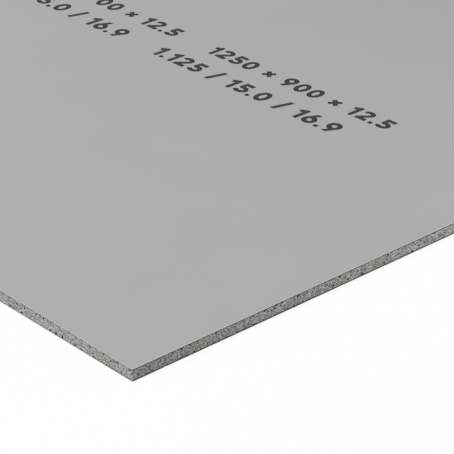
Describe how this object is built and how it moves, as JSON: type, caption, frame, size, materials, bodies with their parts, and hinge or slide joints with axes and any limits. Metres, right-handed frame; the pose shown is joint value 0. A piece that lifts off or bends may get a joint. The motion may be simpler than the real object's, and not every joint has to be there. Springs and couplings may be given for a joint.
{
  "type": "cement board",
  "caption": "Flat square-cut cement board with a smooth grey face, porous cut edges and lightly worn arrises, lying on its back.",
  "frame": {"origin": "centre of the underside", "axes": "+X along the length of the board, +Y across its width, +Z out of the smooth upper face"},
  "size_m": [1.25, 0.9, 0.0125],
  "materials": {
    "cement": "matte"
  },
  "bodies": {
    "root": {"cement_board": "cement"}
  },
  "joints": []
}
